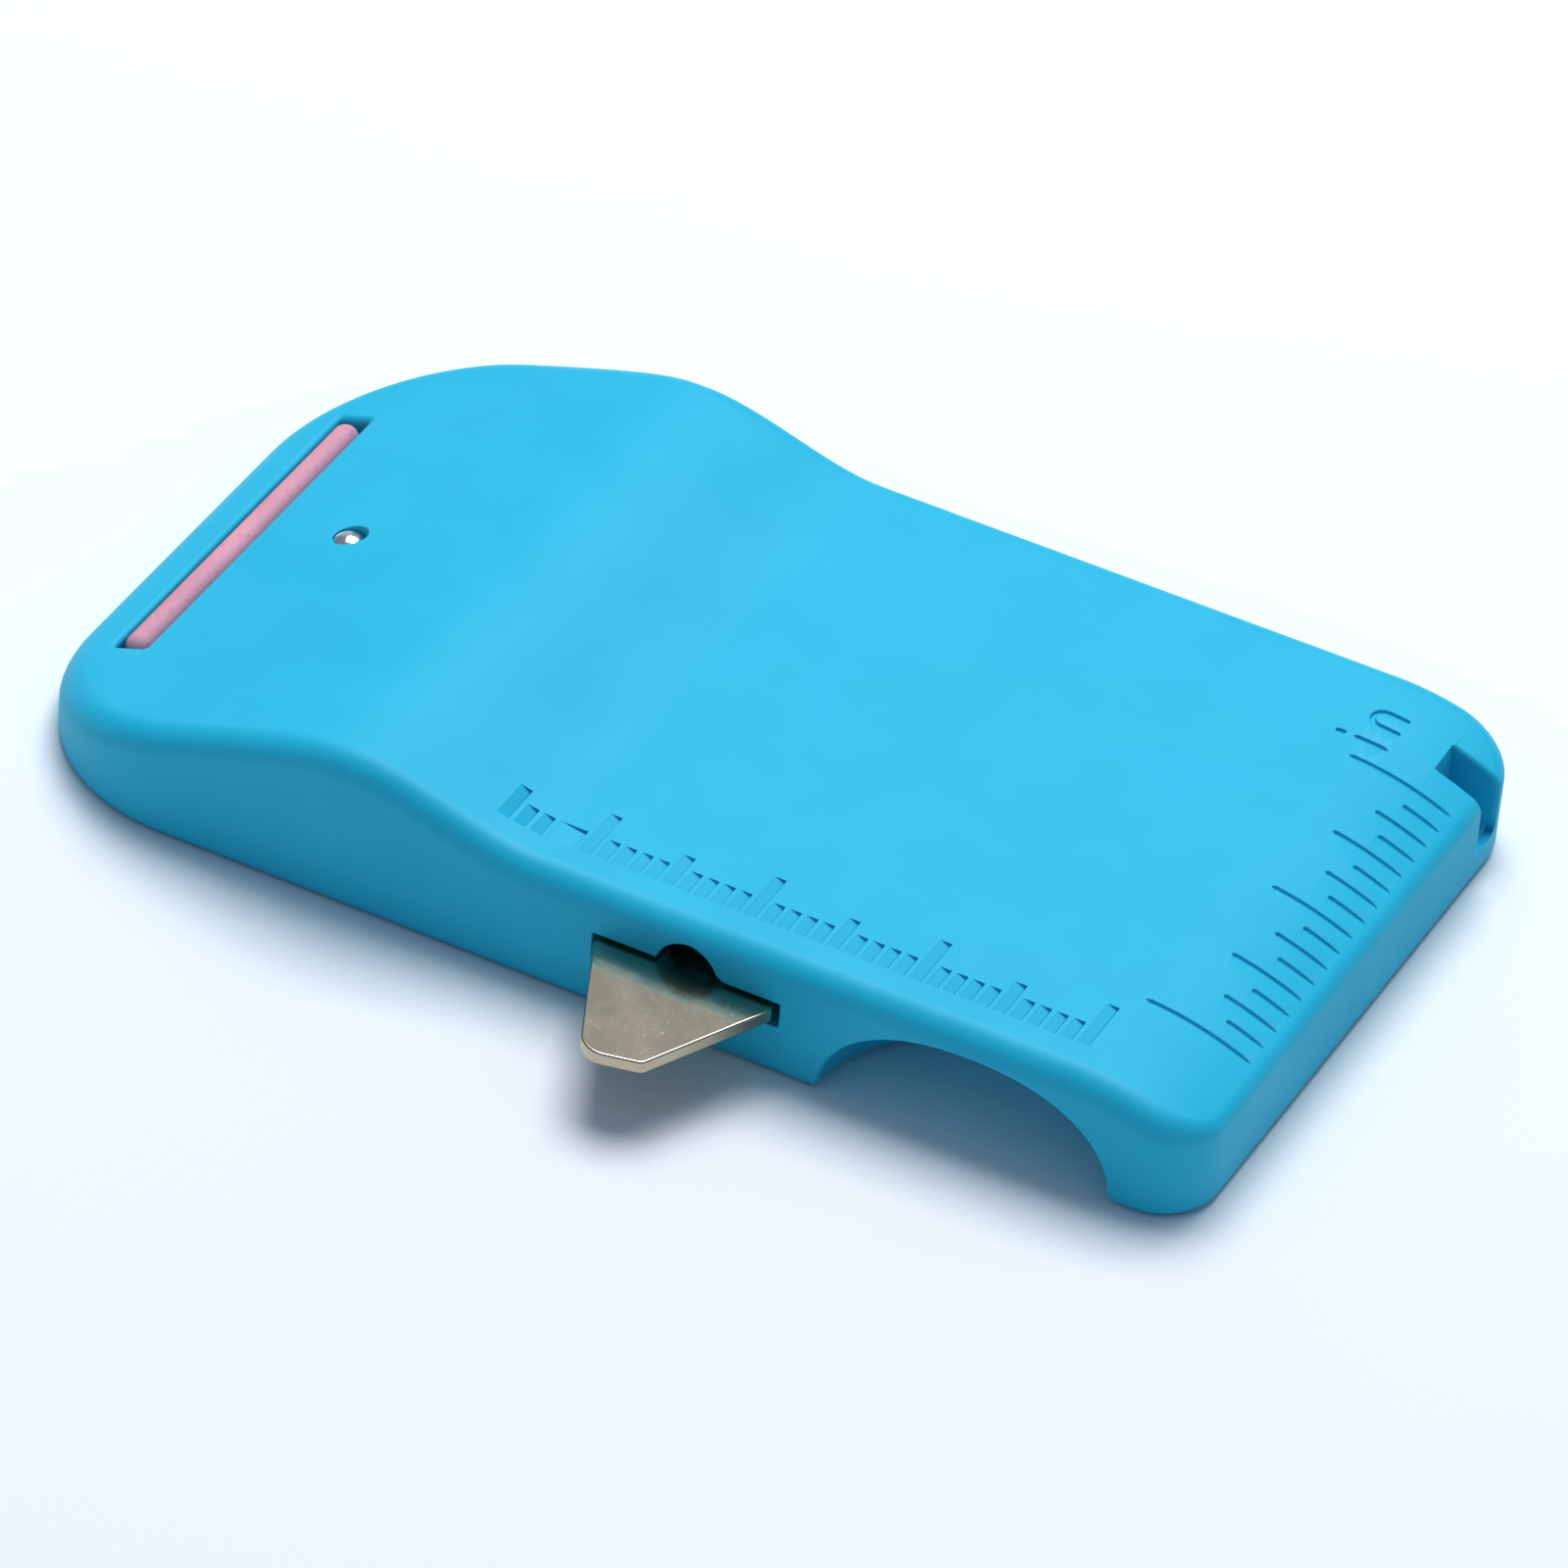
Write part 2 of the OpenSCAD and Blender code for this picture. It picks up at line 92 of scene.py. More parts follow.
camera = bpy.data.objects.new("camera", bpy.data.cameras.new("camera"))
camera.data.lens = 270.9
camera.data.sensor_width = 36
camera.data.clip_start = 0.01
camera.data.clip_end = 20
place = Matrix((right, top, -forward)).transposed().to_4x4()
place.translation = view_point - forward * view_distance
camera.matrix_world = place
bpy.context.scene.collection.objects.link(camera)
bpy.context.scene.camera = camera
print("camera at", [round(c, 3) for c in camera.location])

# %% [markdown]
# ## Light and floor
# A product like this is lit by one large soft lamp, high up and a little behind it, in a
# dim room. The lamp makes the flat top far brighter than the walls, which is what shows the
# wedge and the hump, and it leaves the far end of every mark in shadow. A weak warm card
# low down at the back is there for the steel, which shows only what it reflects, and a
# second one does the same for the sloping nose. The room is a little blue, as daylight
# indoors is. A gamma below 1 gives the crisp contrast of a printed catalogue.

# %% Floor, lamps and surroundings
scene = bpy.context.scene
scene.view_settings.view_transform = "Standard"
scene.view_settings.gamma = 0.8


def soft_lamp(name, place, aim, width, power, colour=(1, 1, 1)):
    """A square area lamp at a place, turned to face an aim, both in metres."""
    lamp = bpy.data.objects.new(name, bpy.data.lights.new(name, "AREA"))
    lamp.data.size = width
    lamp.data.energy = power
    lamp.data.color = colour
    lamp.location = place
    lamp.rotation_mode = "QUATERNION"
    lamp.rotation_quaternion = (Vector(aim) - Vector(place)).to_track_quat("-Z", "Y")
    scene.collection.objects.link(lamp)
    return lamp


card_distance = 0.7
card_place = Vector((forward.x, forward.y, -forward.z)) * card_distance
soft_lamp("overhead", (-0.08, 0.33, 0.80), (0, 0, 0), 0.6, 6.9)
soft_lamp("card", card_place, (0, 0, 0), 0.5, 0.12, (1, 0.86, 0.64))
soft_lamp("nose_card", (-0.45, 0.51, 0.20), (0, 0, 0), 0.4, 0.12)

room = bpy.data.worlds.new("room")
room.use_nodes = True
room.node_tree.nodes["Background"].inputs["Color"].default_value = (0.80, 0.95, 1.20, 1)
room.node_tree.nodes["Background"].inputs["Strength"].default_value = 0.35
scene.world = room

floor_mesh = bpy.data.meshes.new("floor")
floor_half = 4.0
corners = [(-1, -1), (1, -1), (1, 1), (-1, 1)]
floor_mesh.from_pydata([(x * floor_half, y * floor_half, cad_lo.z) for x, y in corners],
                       [], [(0, 1, 2, 3)])
floor = bpy.data.objects.new("floor", floor_mesh)
scene.collection.objects.link(floor)

# %% [markdown]
# ## Shader graphs written as sums
# A material is easier to read as an expression than as a drawing of boxes. One small class
# wraps an output socket, so that adding or multiplying two of them adds the Math nodes, and
# one method makes every other kind of node: its settings first, then its inputs.

# %% Socket wrapper and graph
class Value:
    """An output socket that can be used in sums."""

    def __init__(self, graph, socket):
        self.graph = graph
        self.socket = socket

    def math(self, operation, first, second):
        return self.graph.node("ShaderNodeMath", {"operation": operation},
                               {0: first, 1: second})

    def __add__(self, other):
        return self.math("ADD", self, other)

    def __radd__(self, other):
        return self.math("ADD", other, self)

    def __sub__(self, other):
        return self.math("SUBTRACT", self, other)

    def __rsub__(self, other):
        return self.math("SUBTRACT", other, self)

    def __mul__(self, other):
        return self.math("MULTIPLY", self, other)

    def __rmul__(self, other):
        return self.math("MULTIPLY", other, self)


class Graph:
    """The nodes of one material."""

    def __init__(self, name):
        self.material = bpy.data.materials.new(name)
        self.material.use_nodes = True
        self.tree = self.material.node_tree
        self.shader = self.tree.nodes["Principled BSDF"]

    def feed(self, socket, value):
        if isinstance(value, Value):
            self.tree.links.new(value.socket, socket)
        else:
            socket.default_value = value

    def node(self, kind, settings=None, inputs=None, output=0):
        """Any node: settings are its own properties, or a ramp's stops, and inputs are
        its sockets by name or number."""
        made = self.tree.nodes.new(kind)
        for key, value in (settings or {}).items():
            if key == "stops":
                ramp = made.color_ramp.elements
                for place, colour in value[2:]:
                    ramp.new(place)
                for element, (place, colour) in zip(ramp, value):
                    element.position = place
                    element.color = colour
            else:
                setattr(made, key, value)
        for key, value in (inputs or {}).items():
            self.feed(made.inputs[key], value)
        return Value(self, made.outputs[output])

    def place(self):
        """Position on the piece, in metres."""
        return self.node("ShaderNodeTexCoord", output="Object")

    def noise(self, size, detail=2.0, rough=0.5, stretch=(1, 1, 1)):
        """Cloudy noise from 0 to 1, whose clouds are about size metres across."""
        where = self.node("ShaderNodeMapping", {}, {"Vector": self.place(),
                                                    "Scale": stretch})
        return self.node("ShaderNodeTexNoise", {}, {"Vector": where, "Scale": 1 / size,
                                                    "Detail": detail, "Roughness": rough})

    def between(self, value, low, high, to_low=0.0, to_high=1.0):
        """Carries value from the range low..high to the range to_low..to_high, smoothly."""
        return self.node("ShaderNodeMapRange", {"interpolation_type": "SMOOTHSTEP"},
                         {"Value": value, "From Min": low, "From Max": high,
                          "To Min": to_low, "To Max": to_high})

    def mix(self, factor, first, second):
        """Blend of two colours."""
        return self.node("ShaderNodeMix", {"data_type": "RGBA"},
                         {"Factor": factor, 6: first, 7: second}, output=2)

    def bump(self, height, depth, strength=1.0):
        """Normal of a surface whose height runs from 0 to 1 over depth metres."""
        return self.node("ShaderNodeBump", {}, {"Height": height, "Distance": depth,
                                                "Strength": strength})

    def set(self, **sockets):
        """Sets or links the shader's sockets: an underscore stands for a space."""
        for key, value in sockets.items():
            self.feed(self.shader.inputs[key.replace("_", " ")], value)
        return self.material


print("graph helpers ready")

# %% [markdown]
# ## Meshes from arrays
# Every new skin here is a stack of closed rings: a body, a hole's cutter, a round pin. So
# one function joins rings into a closed solid, and one puts a solid into the scene. Sizes
# are in millimetres until that last step, because that is how the tool is dimensioned.

# %% Rings into solids
def loft(rings, strips=False):
    """Joins closed rings, an array of rings by points by 3, into one closed solid.

    The first and last ring are closed by one face each, or, with strips, by faces that
    join point k to point n-1-k, which follows a surface that curves along the rings."""
    rings = np.asarray(rings, float)
    count, size = rings.shape[:2]
    index = np.arange(count * size).reshape(count, size)
    ahead = np.roll(index, -1, axis=1)
    walls = np.stack([index[:-1], ahead[:-1], ahead[1:], index[1:]], axis=-1)
    faces = walls.reshape(-1, 4).tolist()
    for ring, flip in ((index[0], True), (index[-1], False)):
        if strips:
            k = np.arange(size // 2 - 1)
            caps = np.stack([ring[k], ring[k + 1], ring[size - 2 - k], ring[size - 1 - k]],
                            axis=-1).tolist()
        else:
            caps = [ring.tolist()]
        faces += [face[::-1] for face in caps] if flip else caps
    return rings.reshape(-1, 3), faces


def together(solids):
    """Several separate solids as one."""
    points, faces, start = [], [], 0
    for solid_points, solid_faces in solids:
        points.append(solid_points)
        faces += [[i + start for i in face] for face in solid_faces]
        start += len(solid_points)
    return np.concatenate(points), faces


def put(name, solid):
    """Makes an object of a solid given in millimetres, with its faces outwards."""
    points, faces = solid
    mesh = bpy.data.meshes.new(name)
    mesh.from_pydata((points * MM).tolist(), [], faces)
    work = bmesh.new()
    work.from_mesh(mesh)
    bmesh.ops.recalc_face_normals(work, faces=work.faces)
    work.to_mesh(mesh)
    work.free()
    thing = bpy.data.objects.new(name, mesh)
    scene.collection.objects.link(thing)
    return thing


def freeze(thing):
    """Turns what an object's modifiers make into its own plain mesh."""
    graph = bpy.context.evaluated_depsgraph_get()
    made = bpy.data.meshes.new_from_object(thing.evaluated_get(graph))
    thing.modifiers.clear()
    thing.data = made
    return thing


def combine(thing, solid, operation="DIFFERENCE"):
    """Cuts a solid out of an object, or adds it."""
    tool = put("tool", solid)
    step = thing.modifiers.new("combine", "BOOLEAN")
    step.operation = operation
    step.solver = "MANIFOLD"
    step.object = tool
    freeze(thing)
    bpy.data.objects.remove(tool)
    return thing


def finish_edges(thing, sharp=35.0):
    """Smooth shading, with edges kept sharp past an angle, and broad faces left flat."""
    thing.data.polygons.foreach_set("use_smooth", [True] * len(thing.data.polygons))
    thing.data.set_sharp_from_angle(angle=math.radians(sharp))
    even = thing.modifiers.new("even_shading", "WEIGHTED_NORMAL")
    even.keep_sharp = True
    even.weight = 70
    return freeze(thing)


print("mesh helpers ready")

# %% [markdown]
# ## The body's outside
# The body is a moulding with a flat ruler end, a thumb hump and a long nose slope. Its top
# depends only on the distance along the tool, so one formula gives it: a smooth step up to
# the hump, a hyperbola that turns into the nose's straight slope, and a gentle fall over
# the last few millimetres of the ruler end.

# %% Driving sizes and the height of the top
shell_lo, shell_hi = (np.array(c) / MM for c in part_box("upper_shell"))
half_l = (shell_hi[0] - shell_lo[0]) / 2
half_w = (shell_hi[1] - shell_lo[1]) / 2
hump_h = 2.35
flat_t = 7.5
edge_r = 1.6
end_edge_r = 0.6
foot_r = 0.7
wall = 1.6
skin = 1.4
nose_r = 11.0
front_r = 3.6
back_r = 4.4
hump_from = -3.25
hump_to = -14.75
crest_x = -15.25
nose_slope = 0.36
crest_soft = 1.05
droop_x = 28.75
droop_r = 16.0


def top_z(x):
    """Height of the top: flat, plus a smooth step over the hump, less a hyperbola down the
    nose, less a parabola at the ruler end."""
    rise = np.clip((hump_from - x) / (hump_from - hump_to), 0, 1)
    down = np.maximum(0, crest_x - x)
    fall = np.maximum(0, x - droop_x)
    return (flat_t + hump_h * rise * rise * (3 - 2 * rise)
            - (np.sqrt((nose_slope * down) ** 2 + crest_soft ** 2) - crest_soft)
            - fall ** 2 / (2 * droop_r))


def surface_z(x):
    """Height of the finished top, with the rounded edge of the ruler end."""
    past = np.clip(x - (half_l - end_edge_r), 0, end_edge_r)
    return top_z(x) - (end_edge_r - np.sqrt(end_edge_r ** 2 - past ** 2))


print("hump", round(float(top_z(crest_x)), 2), "nose tip", round(float(top_z(-half_l)), 2))

# %% [markdown]
# The plan is a rectangle with four rounded corners. Each point of the outline keeps its
# outward direction, so that the same outline pulled inwards gives every ring of the
# rounded foot and of the rounded top edge, and the walls of the hollow inside as well. The
# top edge is generous along the sides and the nose, and tight at the ruler end, where the
# scale has to reach the edge.

# %% Plan outline and its rings
cross_lines = 9


def stations():
    """Places along the body, close together round the corners, hump and fall."""
    nose = -half_l + nose_r * (1 - np.cos(np.radians(np.arange(0, 90, 5))))
    slope = np.arange(nose[-1] + 0.9, hump_to - 4, 1.2)
    hump = np.arange(hump_to - 4, hump_from + 1.0, 0.45)
    flat = np.arange(hump_from + 2.0, droop_x, 3.0)
    fall = np.arange(droop_x, half_l - back_r, 0.6)
    corner = half_l - back_r * (1 - np.cos(np.radians(np.arange(90, -1, -5.0))))
    return np.concatenate([nose, slope, hump, flat, fall, corner[1:]])


def side_points(x, side):
    """Outline points and outward directions along one long side, corners included."""
    r_end = front_r if side < 0 else back_r
    near_nose = (x + half_l) / nose_r
    near_end = (half_l - x) / r_end
    nx = np.where(near_nose < 1, near_nose - 1, np.where(near_end < 1, 1 - near_end, 0))
    ny = side * np.sqrt(np.maximum(0, 1 - nx ** 2))
    cx = np.where(near_nose < 1, -half_l + nose_r,
                  np.where(near_end < 1, half_l - r_end, x))
    r = np.where(near_nose < 1, nose_r, np.where(near_end < 1, r_end, 0))
    y = np.where(r > 0, side * (half_w - r), side * half_w) + r * ny
    return np.stack([cx + r * nx, y], -1), np.stack([nx, ny], -1)


def end_points(x, y_from, y_to, way):
    """Outline points and directions along one straight end, without its corners."""
    y = y_from + (y_to - y_from) * np.arange(1, cross_lines + 1) / (cross_lines + 1)
    points = np.stack([np.full_like(y, x), y], -1)
    return points, np.tile([way, 0.0], (len(y), 1))


along = stations()
pieces_round = [side_points(along, -1),
                end_points(half_l, -half_w + front_r, half_w - back_r, 1.0),
                tuple(a[::-1] for a in side_points(along, 1)),
                end_points(-half_l, half_w - nose_r, -half_w + nose_r, -1.0)]
outline = np.concatenate([p[0] for p in pieces_round])
outward = np.concatenate([p[1] for p in pieces_round])
edge = edge_r + (end_edge_r - edge_r) * np.maximum(0, outward[:, 0]) ** 2


def body_ring(inset, height):
    """The outline pulled in by inset, the same or one for each point, at height(x)."""
    flat = outline - outward * np.reshape(inset, (-1, 1))
    return np.column_stack([flat, height(flat[:, 0])])


print("outline points:", len(outline))

# %% [markdown]
# The outside is then a stack of those rings: a quarter circle at the foot, the wall, and a
# larger quarter circle at the top edge. The top itself is a grid whose border is the last
# ring, so the seam between them shares its points and closes.

# %% The skin of the body
def body_skin():
    """A closed skin: rings up the wall, then a grid across the top."""
    turn = np.radians(np.linspace(0, 90, 6))
    rings = [body_ring(foot_r * (1 - np.sin(t)),
                       lambda x, t=t: np.full_like(x, foot_r * (1 - np.cos(t))))
             for t in turn]
    for share in (0.35, 0.7):
        rings.append(body_ring(0, lambda x, s=share: foot_r
                               + (top_z(x) - edge - foot_r) * s))
    for t in np.radians(np.linspace(0, 90, 13)):
        drop = edge * (1 - math.sin(t))
        rings.append(body_ring(edge * (1 - math.cos(t)), lambda x, d=drop: top_z(x) - d))
    rings = np.array(rings)
    count, size = rings.shape[:2]
    index = np.arange(count * size).reshape(count, size)
    ahead = np.roll(index, -1, axis=1)
    walls = np.stack([index[:-1], ahead[:-1], ahead[1:], index[1:]], -1).reshape(-1, 4)

    n = len(along)
    last = index[-1]
    front = rings[-1][:n]
    back = rings[-1][n + cross_lines:2 * n + cross_lines][::-1]
    share = (np.arange(1, cross_lines + 1) / (cross_lines + 1))[None, :, None]
    inner = front[1:-1, None] + (back[1:-1, None] - front[1:-1, None]) * share
    inner[..., 2] = top_z(inner[..., 0])
    grid = np.zeros((n, cross_lines + 2), int)
    grid[:, 0] = last[:n]
    grid[:, -1] = last[n + cross_lines:2 * n + cross_lines][::-1]
    grid[-1, 1:-1] = last[n:n + cross_lines]
    grid[0, 1:-1] = last[2 * n + cross_lines:][::-1]
    grid[1:-1, 1:-1] = count * size + np.arange(inner[..., 0].size).reshape(n - 2, -1)
    top = np.stack([grid[:-1, :-1], grid[1:, :-1], grid[1:, 1:], grid[:-1, 1:]], -1)

    points = np.concatenate([rings.reshape(-1, 3), inner.reshape(-1, 3)])
    faces = walls.tolist() + top.reshape(-1, 4).tolist() + [index[0][::-1].tolist()]
    return points, faces


shell = put("shell", body_skin())
print("skin:", len(shell.data.polygons), "faces")

# %% [markdown]
# ## Cutting with soft edges
# No edge of a moulding is truly sharp, and the thin bright line along each one is much of
# what makes it look real. A bevel added later struggles where many small faces meet, so
# here the tool that cuts a hole already carries the edge: near the surface it widens along
# a quarter circle, and the cut comes out rounded.

# %% The levels of a cut
cut_lift = 0.03


def levels(radius, depth, floor_r=0.0):
    """Pairs of how much wider and how deep a cut is, from just above the surface to its
    floor. At turn t the edge is radius*(1-sin t) wider and radius*(1-cos t) deep."""
    turn = np.radians([18, 36, 54, 72, 90])
    wider = radius * (1 - np.sin(turn))
    deep = radius * (1 - np.cos(turn))
    run = (deep[0] + cut_lift) / math.tan(turn[0])
    pairs = [(wider[0] + run, -cut_lift)] + list(zip(wider, deep))
    if floor_r:
        low = np.radians([0, 30, 60, 90])
        pairs += list(zip(-floor_r * (1 - np.cos(low)), depth - floor_r * (1 - np.sin(low))))
    else:
        pairs.append((0.0, depth))
    return np.array(pairs)


def box_ring(cx, cy, lx, ly, corner, wider, straight=2):
    """Ring round a rounded rectangle, front side then back side reversed."""
    r = corner + wider
    hx, hy = lx / 2 + wider, ly / 2 + wider
    a = np.radians(np.linspace(0, 90, 6))
    end_x, end_y = -hx + r * (1 - np.cos(a)), hy - r * (1 - np.sin(a))
    mid = np.linspace(-hx + r, hx - r, straight + 2)[1:-1]
    x = np.concatenate([end_x, mid, -end_x[::-1]])
    y = np.concatenate([end_y, np.full_like(mid, hy), end_y[::-1]])
    return np.concatenate([np.stack([cx + x, cy - y], -1),
                           np.stack([cx + x, cy + y], -1)[::-1]])


def round_ring(cx, cy, radius, count=24):
    """Ring round a circle, front half then back half reversed."""
    a = np.pi + np.pi * (np.arange(count) + 0.5) / count
    front = np.stack([cx + radius * np.cos(a), cy + radius * np.sin(a)], -1)
    return np.concatenate([front, (front * [1, -1] + [0, 2 * cy])[::-1]])


def sink(shape, pairs, floor_z=None):
    """Cutter for a shape let down into the top: shape(wider) is its ring in plan. Each
    ring lies under the top's own curve, or the last one at floor_z."""
    rings = []
    for wider, deep in pairs:
        flat = shape(wider)
        rings.append(np.column_stack([flat, surface_z(flat[:, 0]) - deep]))
    if floor_z is not None:
        rings[-1][:, 2] = floor_z
    return loft(rings, strips=True)


def groove(path, half, pairs, fades):
    """Cutter for a groove: its section is carried along a path in plan. Over the first
    and last fade millimetres the section shrinks as a quarter circle."""
    path = np.asarray(path, float)
    way = np.gradient(path, axis=0)
    way /= np.linalg.norm(way, axis=1)[:, None]
    normal = np.stack([-way[:, 1], way[:, 0]], -1)
    steps = np.linalg.norm(np.diff(path, axis=0), axis=1)
    gone = np.concatenate([[0], np.cumsum(steps)])
    near = np.minimum(gone / fades[0], (gone[-1] - gone) / fades[1])
    size = 0.15 + 0.85 * np.sqrt(1 - (1 - np.clip(near, 0, 1)) ** 2)
    offset = np.concatenate([half + pairs[:, 0], -(half + pairs[::-1, 0])])
    deep = np.concatenate([pairs[:, 1], pairs[::-1, 1]])
    flat = path[:, None] + normal[:, None] * (offset[None, :, None] * size[:, None, None])
    z = surface_z(flat[..., 0]) - np.where(deep > 0, deep * size[:, None], deep)
    return loft(np.concatenate([flat, z[..., None]], -1))


print("cut levels:", levels(0.1, 0.3, 0.05).round(3).tolist())

# %% [markdown]
# ## The hollow inside
# The shell is open underneath. The hollow has the outline's own shape, one wall thickness
# in, and leaves standing what the mould has inside: screw bosses, the boss of the stud, the
# scoop's dome and the box round the corner notch. Those islands are taken out of the hollow
# first, and then the hollow is taken out of the body.

# %% Hollow and islands
scoop_x = 23.3
scoop_r = 8.7
scoop_h = 5.95
scoop_power = 2.2
scoop_foot = 0.5
scoop_wall = 1.2
cover_t = 1.2
notch_w = 2.45
notch_from = 33.8
notch_y = 15.97
notch_floor = 1.9
notch_wall = 1.1
screw_spots = [(27.0, -7.5), (27.7, 15.2), (-19.8, 15.2), (-19.8, -15.8)]
stud_x, stud_y = -26.4, 0.6
holder_top = 2.3
boss_r, stud_boss_r = 2.3, 2.0
boss_gap = 0.05
above = 14.0


def turned(cx, cy, radius, height, count=48):
    """A solid of revolution about an upright axis, from radii and heights going up."""
    a = np.linspace(0, 2 * np.pi, count, endpoint=False)
    radius, height = np.asarray(radius, float), np.asarray(height, float)
    x = cx + radius[:, None] * np.cos(a)
    y = cy + radius[:, None] * np.sin(a)
    return loft(np.stack([x, y, np.broadcast_to(height[:, None], x.shape)], -1))


def block(low, high):
    """A plain box between two corners."""
    low, high = np.array(low, float), np.array(high, float)
    ring = np.array([[0, 0], [1, 0], [1, 1], [0, 1]])
    flat = low[:2] + (high - low)[:2] * ring
    return loft([np.column_stack([flat, np.full(4, z)]) for z in (low[2], high[2])])


def dome_profile(margin):
    """Radius and height of the finger scoop: a superellipse with a flared foot."""
    a = np.radians(np.linspace(0, 89, 24))
    r = (scoop_r + margin) * np.cos(a) ** (2 / scoop_power)
    z = (scoop_h + margin) * np.sin(a) ** (2 / scoop_power)
    flare = scoop_foot - np.sqrt(np.maximum(0, scoop_foot ** 2
                                            - np.clip(scoop_foot - z, 0, None) ** 2))
    return np.concatenate([[r[0] + scoop_foot], r + flare]), np.concatenate([[-1.0], z])


def hollow():
    """The space under the roof and inside the walls."""
    rings = [body_ring(wall, lambda x: np.full_like(x, -1.0)),
             body_ring(wall, lambda x: top_z(x) - skin)]
    n = len(along)
    keep = np.concatenate([np.arange(n), np.arange(n) + n + cross_lines])
    return loft(np.array(rings)[:, keep], strips=True)


space = put("space", hollow())
islands = [turned(x, y, [boss_r] * 2, [cover_t + boss_gap, above]) for x, y in screw_spots]
islands.append(turned(stud_x, stud_y, [stud_boss_r] * 2, [holder_top + boss_gap, above]))
box_side = notch_w / 2 + notch_wall
islands.append(block((notch_from - notch_wall, notch_y - box_side, cover_t + boss_gap),
                     (half_l + 2, notch_y + box_side, above)))
for island in islands:
    combine(space, island)
combine(space, turned(scoop_x, -half_w, *dome_profile(scoop_wall), count=96))
hollow_points = np.array([v.co for v in space.data.vertices]) / MM
hollow_faces = [list(p.vertices) for p in space.data.polygons]
bpy.data.objects.remove(space)
combine(shell, (hollow_points, hollow_faces))
print("hollow shell:", len(shell.data.polygons), "faces")

# %% [markdown]
# ## The two scales
# The long edge carries millimetres and the ruler end one inch in sixteenths. Raised marks
# or printed ones would be other ways to make them; these are sunk into the mould, so they
# are cut. The millimetre marks are pockets whose nose side is a gentle ramp, while the
# side towards the ruler end is steep and keeps a thin dark gutter. The inch marks are finer
# grooves that run on over the falling edge and fade out there.

# %% Cutting the marks
mark_depth = 0.2
mm_zero_x = 28.85
mm_y = -18.4
mm_stroke = 0.72
gutter_w = 0.12
gutter_depth = 0.42
mark_lip = 0.06
first_bite = 0.005
ramp_steps = 7
mm_len = {1: 1.75, 5: 2.8, 10: 3.8}
mm_joined = (31, 32)
inch_step = 25.4 / 16
inch_y = -13.1
inch_end_x = 36.05
inch_len = {1: 2.3, 2: 3.25, 4: 4.35, 8: 5.0, 16: 6.4}
fine_stroke = 0.29


def longest(k, lengths):
    """The length of mark k: that of the largest step which divides it."""
    return lengths[max(step for step in lengths if k % step == 0)]


def mm_mark(k, width=mm_stroke):
    """A pocket whose floor ramps down away from the nose and ends in a narrow gutter."""
    long = longest(k, mm_len)
    high_x = mm_zero_x - k
    ramp = width - gutter_w
    rings = []
    down = [(ramp * t, first_bite + mark_depth * t) for t in np.linspace(0, 1, ramp_steps)]
    for start, deep in [(-mark_lip, -cut_lift), *down, (ramp + 0.01, gutter_depth)]:
        lip = max(0.0, -start)
        flat = box_ring(high_x - (width - start) / 2 + lip / 2, mm_y + long / 2,
                        width - start + lip, long, 0.05, 0.0)
        rings.append(np.column_stack([flat, surface_z(flat[:, 0]) - deep]))
    return loft(rings, strips=True)


def inch_mark(k):
    start = inch_end_x - longest(k, inch_len)
    x = np.linspace(start, inch_end_x, 26)
    path = np.stack([x, np.full_like(x, inch_y + k * inch_step)], -1)
    return groove(path, fine_stroke / 2, levels(0.08, mark_depth, 0.1), (0.15, 1.0))


mm_marks = [mm_mark(k) for k in range(36) if k not in mm_joined]
mm_marks.append(mm_mark(mm_joined[0], mm_stroke + 1))
combine(shell, together(mm_marks))
combine(shell, together([inch_mark(k) for k in range(17)]))
print("marks cut:", len(mm_marks), "and 17")

# %% [markdown]
# Beside the inch scale stands its unit, the letters i and n. They read from the end of the
# tool, so their tops face the nose. Each stroke is a groove along a path: bars, and for the
# n a path that goes up one leg, round half a circle and down the other.

# %% Cutting the unit
leg_end_x = 31.25
arch_x = 29.95
leg_y = (15.65, 16.95)
i_y = 14.0


def bar_path(x0, x1, y):
    x = np.linspace(x0, x1, 12)
    return np.stack([x, np.full_like(x, y)], -1)


def arch_path():
    """Up the first leg, half a turn, and down the second leg."""
    r = (leg_y[1] - leg_y[0]) / 2
    turn = np.radians(np.linspace(270, 90, 17))
    arc = np.stack([arch_x + r * np.cos(turn), leg_y[0] + r + r * np.sin(turn)], -1)
    return np.concatenate([bar_path(leg_end_x, arch_x, leg_y[0])[:-1], arc,
                           bar_path(arch_x, leg_end_x, leg_y[1])[1:]])


letter = levels(0.06, mark_depth, 0.08)
strokes = [bar_path(28.05, 28.7, i_y), bar_path(29.15, leg_end_x, i_y), arch_path()]
combine(shell, together([groove(p, 0.16, letter, (0.15, 0.15)) for p in strokes]))
print("unit cut:", len(strokes), "strokes")

# %% [markdown]
# ## Openings in the nose
# The creasing bar sits in a long slot across the nose, and the rivet that holds its carrier
# sits in a small round recess behind it. Both rims follow the nose's slope.

# %% Bar slot and stud recess
bar_x, bar_y, bar_z = -33.0, 0.5, 3.7
bar_len = 24.9
bar_d = 1.6
bar_slot_w = 1.9
bar_slot_len = bar_len + 0.6
stud_hole_d = 2.0
stud_sunk = 0.6

combine(shell, sink(lambda wider: box_ring(bar_x, bar_y, bar_slot_w, bar_slot_len, 0.22,
                                           wider, 6), levels(0.45, 2.2)))
stud_seat = float(top_z(stud_x)) - stud_sunk
combine(shell, sink(lambda wider: round_ring(stud_x, stud_y, stud_hole_d / 2 + wider),
                    levels(0.09, stud_sunk), stud_seat))
print("stud seat at", round(stud_seat, 2))

